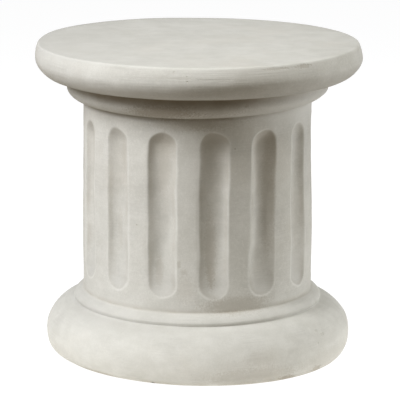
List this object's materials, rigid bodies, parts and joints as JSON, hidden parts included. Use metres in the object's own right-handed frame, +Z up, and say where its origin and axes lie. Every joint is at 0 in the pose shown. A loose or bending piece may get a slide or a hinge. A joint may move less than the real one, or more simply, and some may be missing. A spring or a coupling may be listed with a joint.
{
  "type": "short fluted column pedestal",
  "caption": "Short round column with a fluted shaft, a torus base and a flat round top, cast in one piece to stand as a pedestal, side table or stool.",
  "frame": {"origin": "on the floor, at the middle of the underside", "axes": "+Z up along the column's own axis; +X through the middle of one flute; the land between two flutes faces -Y"},
  "size_m": [0.4769, 0.477, 0.457],
  "materials": {
    "cast_stone": "matte"
  },
  "bodies": {
    "root": {"column": "cast_stone"}
  },
  "joints": []
}
